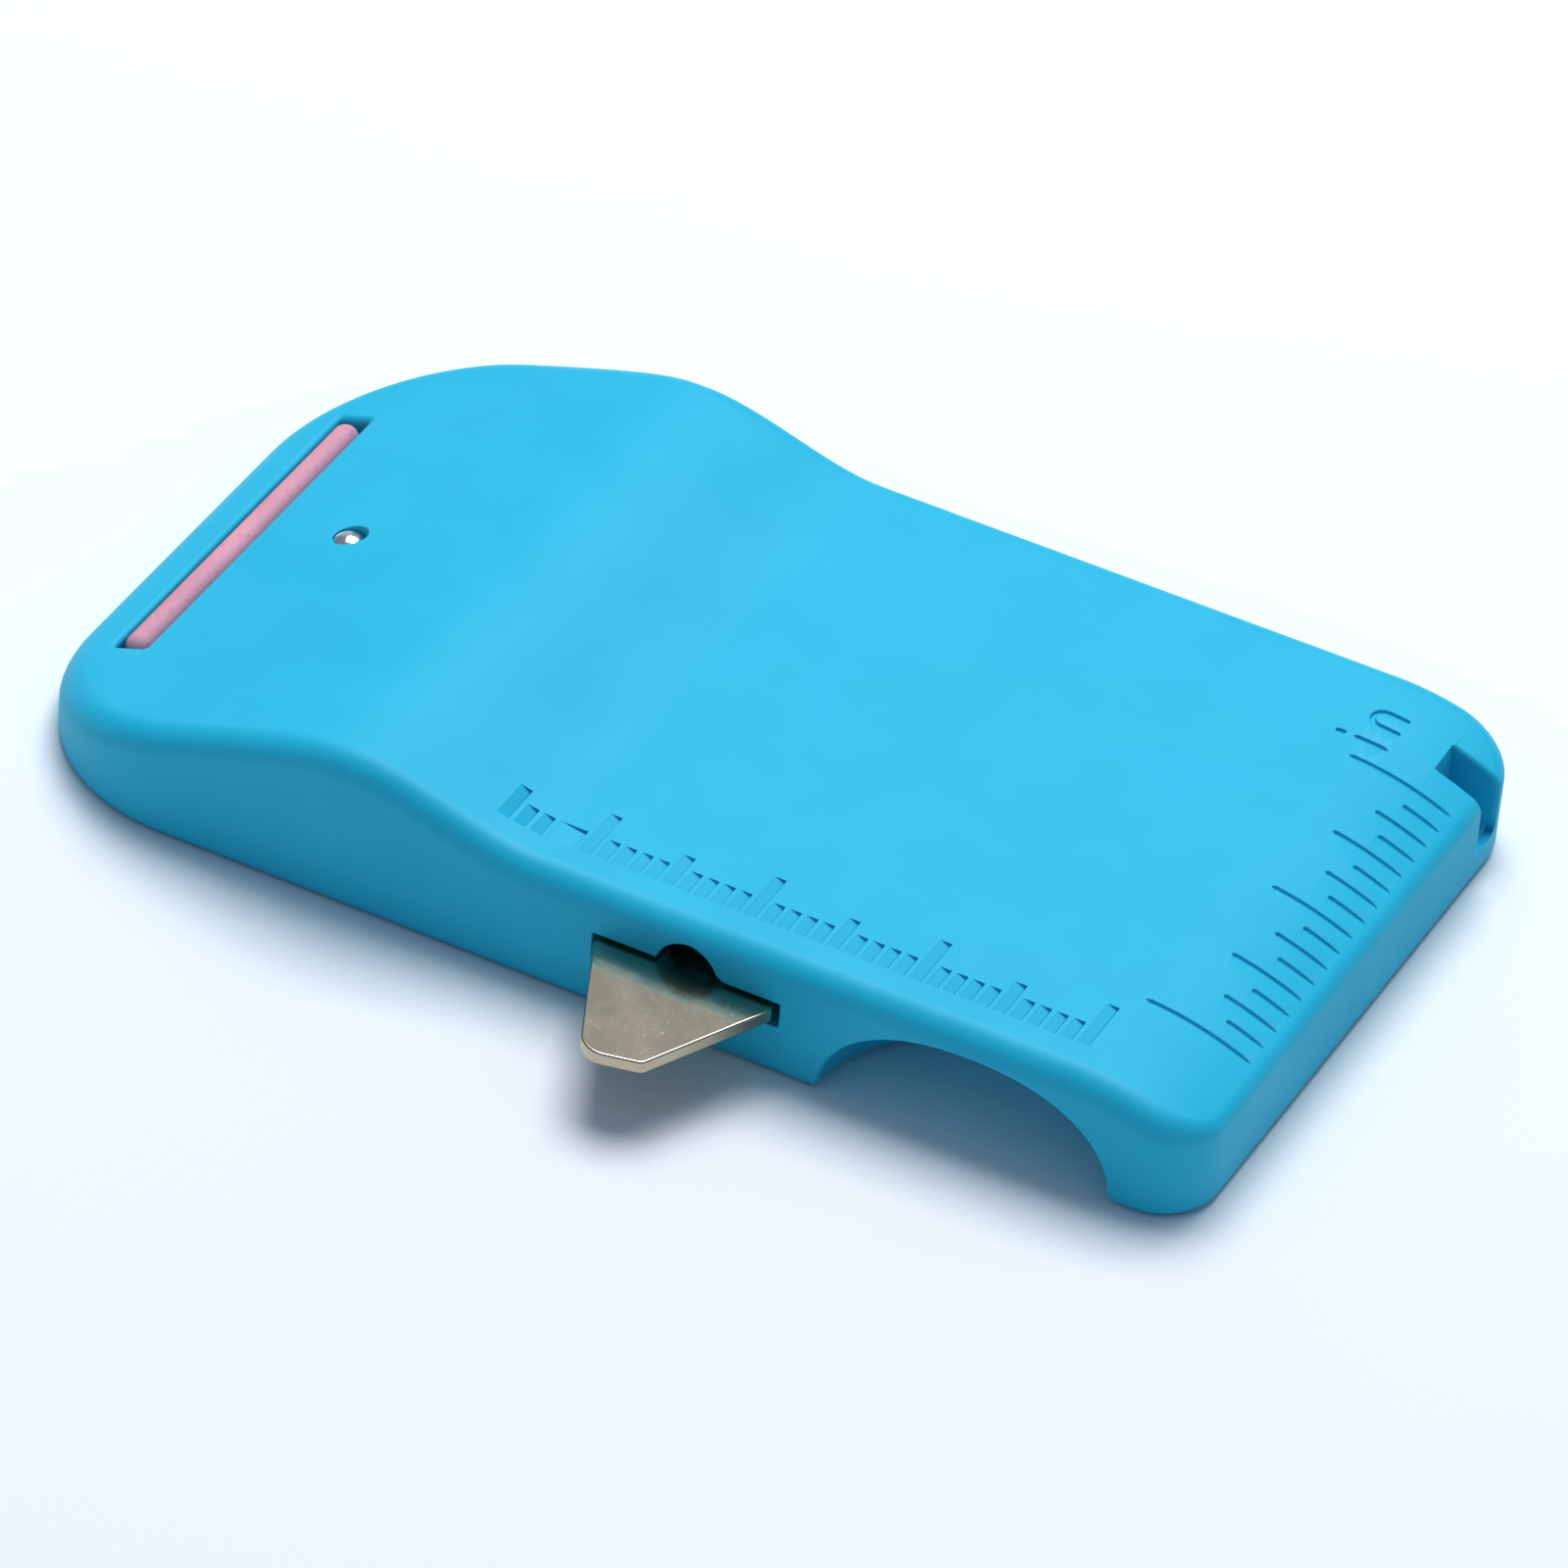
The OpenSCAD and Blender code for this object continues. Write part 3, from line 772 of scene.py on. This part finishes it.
# %% [markdown]
# ## Openings in the front wall
# The plate's slot is a letterbox with a half-round nail notch over its middle, so that a
# fingernail can push the plate. Its outline is drawn once for any growth: all its arcs
# gain the growth in radius, and the hollow arc that blends the notch loses it.

# %% Plate slot and nail notch
slot_x, slot_w = 6.4, 11.35
slot_z0, slot_z1 = 3.25, 4.8
nail_r, nail_z = 1.86, 4.44
blend_r = 0.9


def front_in(z):
    """How far the front face has curved inwards at a height: a quarter circle of foot_r
    at the foot, and of edge_r at the top edge."""
    low = np.clip(foot_r - z, 0, foot_r)
    high = np.clip(z - (flat_t - edge_r), 0, edge_r)
    return (foot_r - np.sqrt(foot_r ** 2 - low ** 2)
            + edge_r - np.sqrt(edge_r ** 2 - high ** 2))


def arc(cx, cz, radius, start, stop, count):
    """Points on an arc between two angles in degrees."""
    a = np.radians(np.linspace(start, stop, count))
    return np.stack([cx + radius * np.cos(a), cz + radius * np.sin(a)], -1)


def slot_outline(grow):
    """The letterbox with its nail notch, grown: anticlockwise from the lower left."""
    x0, x1 = slot_x - slot_w / 2, slot_x + slot_w / 2
    r = 0.12
    blend_x = slot_x + math.sqrt((nail_r + blend_r) ** 2
                                 - (slot_z1 + blend_r - nail_z) ** 2)
    lean = math.degrees(math.atan2(slot_z1 + blend_r - nail_z, blend_x - slot_x))
    rise = slot_z1 + grow - nail_z
    start = math.degrees(math.asin(rise / (nail_r + grow)))
    return np.concatenate([
        arc(x0 + r, slot_z0 + r, r + grow, 180, 270, 5),
        arc(x1 - r, slot_z0 + r, r + grow, 270, 360, 5),
        arc(x1 - r, slot_z1 - r, r + grow, 0, 90, 5),
        arc(blend_x, slot_z1 + blend_r, blend_r - grow, 270, 180 + lean, 8),
        arc(slot_x, nail_z, nail_r + grow, lean, 180 - start, 33)[1:],
        arc(x0 + r, slot_z1 - r, r + grow, 90, 180, 5)])


def into_wall(outline_at, pairs):
    """Cutter that goes into the front wall: outline_at(wider) is its outline there."""
    rings = []
    for wider, deep in pairs:
        flat = outline_at(wider)
        rings.append(np.column_stack([flat[:, 0], -half_w + front_in(flat[:, 1]) + deep,
                                      flat[:, 1]]))
    return loft(rings)


combine(shell, into_wall(slot_outline, levels(0.1, wall + 0.4)))
print("plate slot", slot_w, "by", round(slot_z1 - slot_z0, 2), "mm")

# %% [markdown]
# The finger scoop is a dome turned about an upright axis that stands in the front face, so
# half of it is cut away. Where the dome meets the face a second, shallow cutter rolls the
# arch's edge over. It is the dome's own profile, grown along its normals.

# %% Finger scoop
def arch_outline(grow):
    """The dome's profile on both sides of its axis, grown along its normals, and closed
    below the underside."""
    r, z = dome_profile(0.0)
    side = np.stack([r, z], -1)
    way = np.gradient(side, axis=0)
    way /= np.linalg.norm(way, axis=1)[:, None]
    side = side + np.stack([way[:, 1], -way[:, 0]], -1) * grow
    side[0, 1] = -1.0
    right = side + [scoop_x, 0]
    left = (side * [-1, 1] + [scoop_x, 0])[::-1]
    return np.concatenate([right, left])


arch_r = 0.22
combine(shell, turned(scoop_x, -half_w, *dome_profile(0.0), count=144))
rim = levels(arch_r, arch_r + 0.03)
rim[-1, 0] = -0.02
combine(shell, into_wall(arch_outline, rim))
print("scoop", 2 * scoop_r, "wide and", scoop_h, "high")

# %% [markdown]
# ## The corner notch
# A narrow notch runs down through the top and out of the end wall. Two cutters make it: a
# plain channel with a softly filleted floor, and a rim that starts on the top, bends over
# the rounded edge and goes down the end wall, always square to the skin that it follows.

# %% Corner notch
near_y, far_y = notch_y - notch_w / 2, notch_y + notch_w / 2


def channel():
    """The notch's section in Y and Z, the same from its inner end to past the wall."""
    fillet, small = 0.8, 0.15
    section = np.concatenate([
        [[near_y, 9.0]],
        arc(near_y + small, notch_floor + small, small, 180, 270, 4),
        arc(far_y - fillet, notch_floor + fillet, fillet, 270, 360, 9),
        [[far_y, 9.0]]])
    return loft([np.column_stack([np.full(len(section), x), section])
                 for x in (notch_from, half_l + 1)])


def skin_x(inset, y):
    """Where the plan has come in by inset at y, with the back corner's arc."""
    past = np.clip(y - (half_w - back_r), 0, None)
    return half_l - back_r + np.sqrt(np.maximum((back_r - inset) ** 2 - past ** 2, 0))


def notch_rim(near_r, far_r):
    """A shallow section carried over the top, round the edge and down the end wall. It
    opens out from nothing at the notch's inner end."""
    bend = np.radians(np.arange(90, -1, -9.0))
    r = end_edge_r
    start = half_l - notch_from - 0.02
    inset = np.concatenate([np.linspace(start, r, 13)[:-1], r * (1 - np.cos(bend)),
                            np.zeros(5)])
    down = np.linspace(r, float(top_z(half_l)) - notch_floor, 6)[1:]
    drop = np.concatenate([np.zeros(12), r * (1 - np.sin(bend)), down])
    opened = np.sqrt(np.clip((start - inset) / 0.5, 0.001, 1))[:, None]
    x = skin_x(inset, near_y)
    way = np.gradient(np.stack([x, top_z(x) - drop], -1), axis=0)
    way /= np.linalg.norm(way, axis=1)[:, None]
    way[0] = 1, 0
    near, far = levels(near_r, 0.5), levels(far_r, 0.5)
    wider = np.concatenate([-near[:, 0], far[::-1, 0]])
    y = np.repeat([near_y, far_y], len(near)) + wider * opened
    deep = np.concatenate([near[:, 1], far[::-1, 1]])
    x = skin_x(inset[:, None], y)
    z = top_z(x) - drop[:, None]
    return loft(np.stack([x + way[:, 1:] * deep, y, z - way[:, :1] * deep], -1))


combine(shell, channel())
combine(shell, notch_rim(0.12, 0.3))
finish_edges(shell)
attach(shell, "body")
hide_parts("upper_shell")
print("shell:", len(shell.data.polygons), "faces")

# %% [markdown]
# ## The scoring plate
# The plate is blanked from steel strip: parallel where it slides, then narrowing to a blunt
# tip with one rounder corner. A blanked edge is dressed, so all its edges get a small
# rounded chamfer, which is the bright line round the plate. Here the outline is pulled in
# ring by ring to make that chamfer.

# %% Plate outline
blade_x, blade_w, blade_t = 6.4, 10.8, 0.8
blade_z = 3.8
blade_out = 8.9
shoulder = 0.4
rear_y = -5.9
tip_w, tip_skew = 3.4, 0.8
tip_r = (1.65, 0.6)
pin_y, pin_d, pin_play = -9.6, 2.0, 0.2


def rounded(points, radii, steps=10):
    """A closed outline through points, with each corner turned by an arc of its radius:
    the arc's middle lies on the corner's bisector, r/sin(half angle) away."""
    points = np.asarray(points, float)
    found = []
    for k, r in enumerate(radii):
        b = points[k]
        u = points[k - 1] - b
        v = points[(k + 1) % len(points)] - b
        u, v = u / np.linalg.norm(u), v / np.linalg.norm(v)
        half = math.acos(np.clip(u @ v, -1, 1)) / 2
        bisector = (u + v) / np.linalg.norm(u + v)
        middle = b + bisector * r / math.sin(half)
        t0 = b + u * r / math.tan(half) - middle
        t1 = b + v * r / math.tan(half) - middle
        a0 = math.atan2(t0[1], t0[0])
        turn = (math.atan2(t1[1], t1[0]) - a0 + math.pi) % (2 * math.pi) - math.pi
        a = a0 + turn * np.linspace(0, 1, steps)
        found.append(middle + r * np.stack([np.cos(a), np.sin(a)], -1))
    return np.concatenate(found)


def pulled_in(outline, inset):
    """An anticlockwise outline moved inwards by inset, with mitred corners."""
    before = outline - np.roll(outline, 1, axis=0)
    after = np.roll(outline, -1, axis=0) - outline
    n0, n1 = [np.stack([-e[:, 1], e[:, 0]], -1) / np.linalg.norm(e, axis=1)[:, None]
              for e in (before, after)]
    mitre = n0 + n1
    return outline + mitre * (2 * inset / (mitre ** 2).sum(axis=1))[:, None]


def slab(outline, z0, z1, edge):
    """A plate between two heights, whose edges are rounded by quarter circles."""
    a = np.radians(np.linspace(0, 90, 5))
    inset = edge * (1 - np.sin(a))
    low = z0 + edge * (1 - np.cos(a))
    levels_up = list(zip(inset, low)) + list(zip(inset[::-1], (z0 + z1 - low)[::-1]))
    return loft([np.column_stack([pulled_in(outline, i), np.full(len(outline), z)])
                 for i, z in levels_up])


y_tip = -half_w - blade_out
y_shoulder = -half_w - shoulder
plate_outline = rounded(
    [(-blade_w / 2, rear_y), (-blade_w / 2, y_shoulder), (-tip_w / 2, y_tip),
     (tip_w / 2, y_tip + tip_skew), (blade_w / 2, y_shoulder), (blade_w / 2, rear_y)],
    (0.4, 0.6, tip_r[0], tip_r[1], 0.5, 0.4)) + [blade_x, 0]
print("plate outline:", len(plate_outline), "points")

# %% [markdown]
# The plate's own slot lets it slide past the stop pin. It is cut with the same kind of
# tool as the shell's openings, from both faces, so that its rim is softened too.

# %% Plate
def stadium_ring(cx, cy, radius, straight, count=12):
    """Ring round a slot with round ends that lies along Y, right side then left side."""
    a = np.pi * (np.arange(count) + 0.5) / count - np.pi / 2
    up = a > 0
    x = radius * np.cos(a)
    y = radius * np.sin(a) + np.where(up, straight / 2, -straight / 2)
    right = np.stack([cx + x, cy + y], -1)
    return np.concatenate([right, (right * [-1, 1] + [2 * cx, 0])[::-1]])


def through(shape, z0, z1, rim_r):
    """Cutter that goes right through a flat plate, with rims on both faces."""
    pairs = levels(rim_r, (z1 - z0) / 2)
    low = [np.column_stack([shape(w), np.full(len(shape(w)), z0 + d)]) for w, d in pairs]
    high = [np.column_stack([shape(w), np.full(len(shape(w)), z1 - d)])
            for w, d in pairs[-2::-1]]
    return loft(low + high, strips=True)


plate = put("scoring_plate", slab(plate_outline, blade_z, blade_z + blade_t, 0.13))
pin_slot_r = (pin_d + pin_play) / 2
combine(plate, through(lambda wider: stadium_ring(blade_x, pin_y - blade_out / 2,
                                                  pin_slot_r + wider, blade_out),
                       blade_z, blade_z + blade_t, 0.08))
finish_edges(plate, 50)
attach(plate, "blade")
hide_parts("scoring_blade")
print("plate:", len(plate.data.polygons), "faces")

# %% [markdown]
# ## The creasing bar and its stud
# The bar is a soft-looking rod with a full-round top and round ends. Seen from above it is
# a slot shape that shrinks to its middle line as it rises, so its rings are slot shapes of
# radius r*cos(t) at height r*sin(t). It stands on a longer foot that its carrier traps.

# %% Creasing bar
holder_pocket = 0.55
foot_z = holder_top - holder_pocket + 0.02
foot_extra = 0.5


def bar_ring(radius, straight, z):
    flat = stadium_ring(bar_x, bar_y, radius, straight, 20)
    return np.column_stack([flat, np.full(len(flat), z)])


straight = bar_len - bar_d
turn = np.radians(np.linspace(0, 87, 14))
bar_rings = [bar_ring(bar_d / 2, straight, foot_z)]
bar_rings += [bar_ring(bar_d / 2 * math.cos(t), straight, bar_z + bar_d / 2 * math.sin(t))
              for t in turn]
bar = put("creasing_bar", loft(bar_rings, strips=True))
foot = [bar_ring(bar_d / 2, straight + 2 * foot_extra, z)
        for z in (foot_z, holder_top - 0.03)]
combine(bar, loft(foot, strips=True), "UNION")
finish_edges(bar)
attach(bar, "body")
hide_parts("crease_bar")
print("bar:", len(bar.data.polygons), "faces")

# %% [markdown]
# The stud is a rivet. Its head is turned: a low dome, a small rolled rim and a short neck
# down into the recess, then the shank and the rolled lower end that holds the carrier.

# %% Rivet
stud_d = 1.75
stud_dome = 0.35
rivet_d = 1.2
rivet_foot_d = 2.0
holder_low = 1.25


def rivet_profile():
    """Radii and heights from the rolled lower end up to the middle of the dome."""
    r = stud_d / 2
    rim_z = stud_seat + stud_sunk - stud_dome
    dome_r = (r * r + stud_dome ** 2) / (2 * stud_dome)
    a = np.linspace(math.asin((r - 0.06) / dome_r), 0.001, 12)
    roll = np.radians([-60, -20, 20, 60])
    low, high = holder_low + 0.05, holder_low + 0.42
    radius = np.concatenate([[0.7, 0.95, rivet_foot_d / 2, rivet_foot_d / 2, 0.9],
                             [rivet_d / 2] * 2, [r - 0.05, r],
                             r - 0.06 + 0.06 * np.cos(roll), dome_r * np.sin(a)])
    z = np.concatenate([[low, low + 0.05, low + 0.12, high - 0.08, high],
                        [high, stud_seat], [stud_seat, stud_seat + 0.05],
                        rim_z - 0.02 + 0.06 * np.sin(roll),
                        rim_z + stud_dome - dome_r * (1 - np.cos(a))])
    return radius, z


rivet = put("holder_rivet_head", turned(stud_x, stud_y, *rivet_profile(), count=48))
finish_edges(rivet, 45)
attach(rivet, "body")
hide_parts("holder_rivet")
print("rivet:", len(rivet.data.polygons), "faces")

# %% [markdown]
# ## The pieces underneath and inside
# The cover, carrier, screws, spring and pin have the right shape in the engineering model,
# but its edges are perfectly sharp. A copy of each is welded, its flat faces are joined
# up again, and a bevel of a tenth of a millimetre or less breaks every edge.

# %% Softened copies
def softened(node, name, width, segments=2):
    """A welded copy of a model node with broken edges, which takes the node's place."""
    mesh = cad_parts[node].data.copy()
    work = bmesh.new()
    work.from_mesh(mesh)
    bmesh.ops.remove_doubles(work, verts=work.verts, dist=2e-6)
    bmesh.ops.dissolve_limit(work, angle_limit=math.radians(1), verts=work.verts,
                             edges=work.edges)
    work.to_mesh(mesh)
    work.free()
    mesh.materials.clear()
    thing = bpy.data.objects.new(name, mesh)
    scene.collection.objects.link(thing)
    edge = thing.modifiers.new("broken_edges", "BEVEL")
    edge.width = width * MM
    edge.segments = segments
    edge.limit_method = "ANGLE"
    edge.angle_limit = math.radians(40)
    edge.use_clamp_overlap = True
    freeze(thing)
    finish_edges(thing, 45)
    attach(thing, "body")
    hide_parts(node)
    return thing


cover = softened("base_cover", "bottom_cover", 0.12)
screws = softened("cover_screws", "bottom_screws", 0.04, 1)
carrier = softened("bar_holder", "bar_carrier", 0.08)
leaf = softened("friction_spring", "leaf_spring", 0.03, 1)
leaf_screw = softened("spring_screw", "leaf_screw", 0.04, 1)
pin = softened("blade_stop_pin", "stop_pin", 0.1)
for piece in (cover, screws, carrier, leaf, leaf_screw, pin):
    print(piece.name, len(piece.data.polygons), "faces")

# %% [markdown]
# ## Finishes
# The body is pigmented plastic with a satin skin. Three things keep such a skin from
# looking painted: a faint cloudiness in the pigment, a fine grain from the mould, and
# patches where handling has left it a little glossier. All of them are noise read from the
# position on the piece, at three different scales.

# %% Plastic
def plastic(name, colour, cloud, rough, grain, speckle=0.0):
    """Satin plastic: cloudy pigment between two colours, handled patches, fine grain."""
    g = Graph(name)
    clouds = g.between(g.noise(7 * MM, 3), 0.3, 0.7)
    tint = g.mix(clouds, (*colour, 1), (*cloud, 1))
    fine = g.noise(0.16 * MM, 2)
    if speckle:
        dots = g.between(g.noise(0.35 * MM, 1), 0.6, 0.72)
        tint = g.mix(dots * speckle, tint, (*(c * 0.62 for c in colour), 1))
    handled = g.between(g.noise(11 * MM, 2), 0.35, 0.65)
    scuffs = g.between(g.noise(0.5 * MM, 3, 0.6, (0.25, 1, 1)), 0.62, 0.7)
    roughness = rough + 0.06 * handled - 0.05 * fine + 0.05 * scuffs
    return g.set(Base_Color=tint, Roughness=roughness,
                 Normal=g.bump(fine + 0.3 * scuffs, grain * MM), IOR=1.49,
                 Specular_IOR_Level=0.35)


shell_blue = plastic("satin_blue", (0.026, 0.53, 0.725), (0.033, 0.55, 0.745), 0.46, 0.004)
cover_blue = plastic("grained_blue", (0.045, 0.42, 0.70), (0.05, 0.44, 0.71), 0.55, 0.012)
rose = plastic("chalky_rose", (0.80, 0.42, 0.50), (0.72, 0.38, 0.46), 0.62, 0.010, 0.35)
bone = plastic("bone_white", (0.62, 0.62, 0.58), (0.58, 0.58, 0.55), 0.5, 0.008)
print("plastics:", shell_blue.name, cover_blue.name, rose.name, bone.name)

# %% [markdown]
# The plate is brushed steel: its brushing is noise stretched along the sliding direction,
# and it changes both the height and the gloss. Larger clouds stand for the smudges that
# bare steel always carries. The screws, spring and pin use the same recipe.

# %% Metal
def metal(name, colour, smudge, rough, brush, size=0.05):
    """Brushed metal: streaks along brush, and clouds that dull and darken it."""
    g = Graph(name)
    streaks = g.noise(size * MM, 3, 0.6, brush)
    clouds = g.between(g.noise(3 * MM, 3, 0.6), 0.35, 0.7)
    pits = g.between(g.noise(0.12 * MM, 2), 0.66, 0.74)
    tint = g.mix(clouds, (*colour, 1), (*smudge, 1))
    roughness = rough + 0.04 * clouds + 0.06 * streaks + 0.1 * pits
    return g.set(Base_Color=tint, Metallic=1.0, Roughness=roughness,
                 Normal=g.bump(streaks - 0.4 * pits, 0.0015 * MM))


plate_steel = metal("brushed_steel", (0.58, 0.52, 0.41), (0.53, 0.48, 0.38), 0.12,
                    (1, 0.04, 1))
pin_steel = metal("ground_steel", (0.6, 0.6, 0.6), (0.5, 0.5, 0.5), 0.25, (1, 1, 0.1))
leaf_steel = metal("rolled_steel", (0.62, 0.6, 0.55), (0.5, 0.49, 0.46), 0.28, (1, 0.1, 1))
zinc = metal("plated_zinc", (0.62, 0.64, 0.68), (0.52, 0.55, 0.6), 0.3, (1, 1, 1), 0.2)
bright = metal("bright_nickel", (0.8, 0.84, 0.84), (0.7, 0.76, 0.77), 0.12, (1, 1, 1), 0.3)
print("metals:", plate_steel.name, pin_steel.name, leaf_steel.name, zinc.name, bright.name)

# %% [markdown]
# Last, each piece takes its finish, and the floor gets its own: plain, pale and matt, with
# just enough unevenness that it isn't a flat colour.

# %% Giving out the finishes
paper = Graph("pale_floor")
paper_white = (0.92, 0.92, 0.92, 1)
paper_cloud = (0.90, 0.905, 0.91, 1)
paper.set(Base_Color=paper.mix(paper.noise(0.05), paper_white, paper_cloud), Roughness=0.8,
          Normal=paper.bump(paper.noise(0.4 * MM), 0.01 * MM))
finishes = [(shell, shell_blue), (cover, cover_blue), (plate, plate_steel), (bar, rose),
            (carrier, bone), (rivet, bright), (screws, zinc), (leaf_screw, zinc),
            (leaf, leaf_steel), (pin, pin_steel), (floor, paper.material)]
for piece, finish in finishes:
    piece.data.materials.clear()
    piece.data.materials.append(finish)
print("finishes given:", len(finishes))
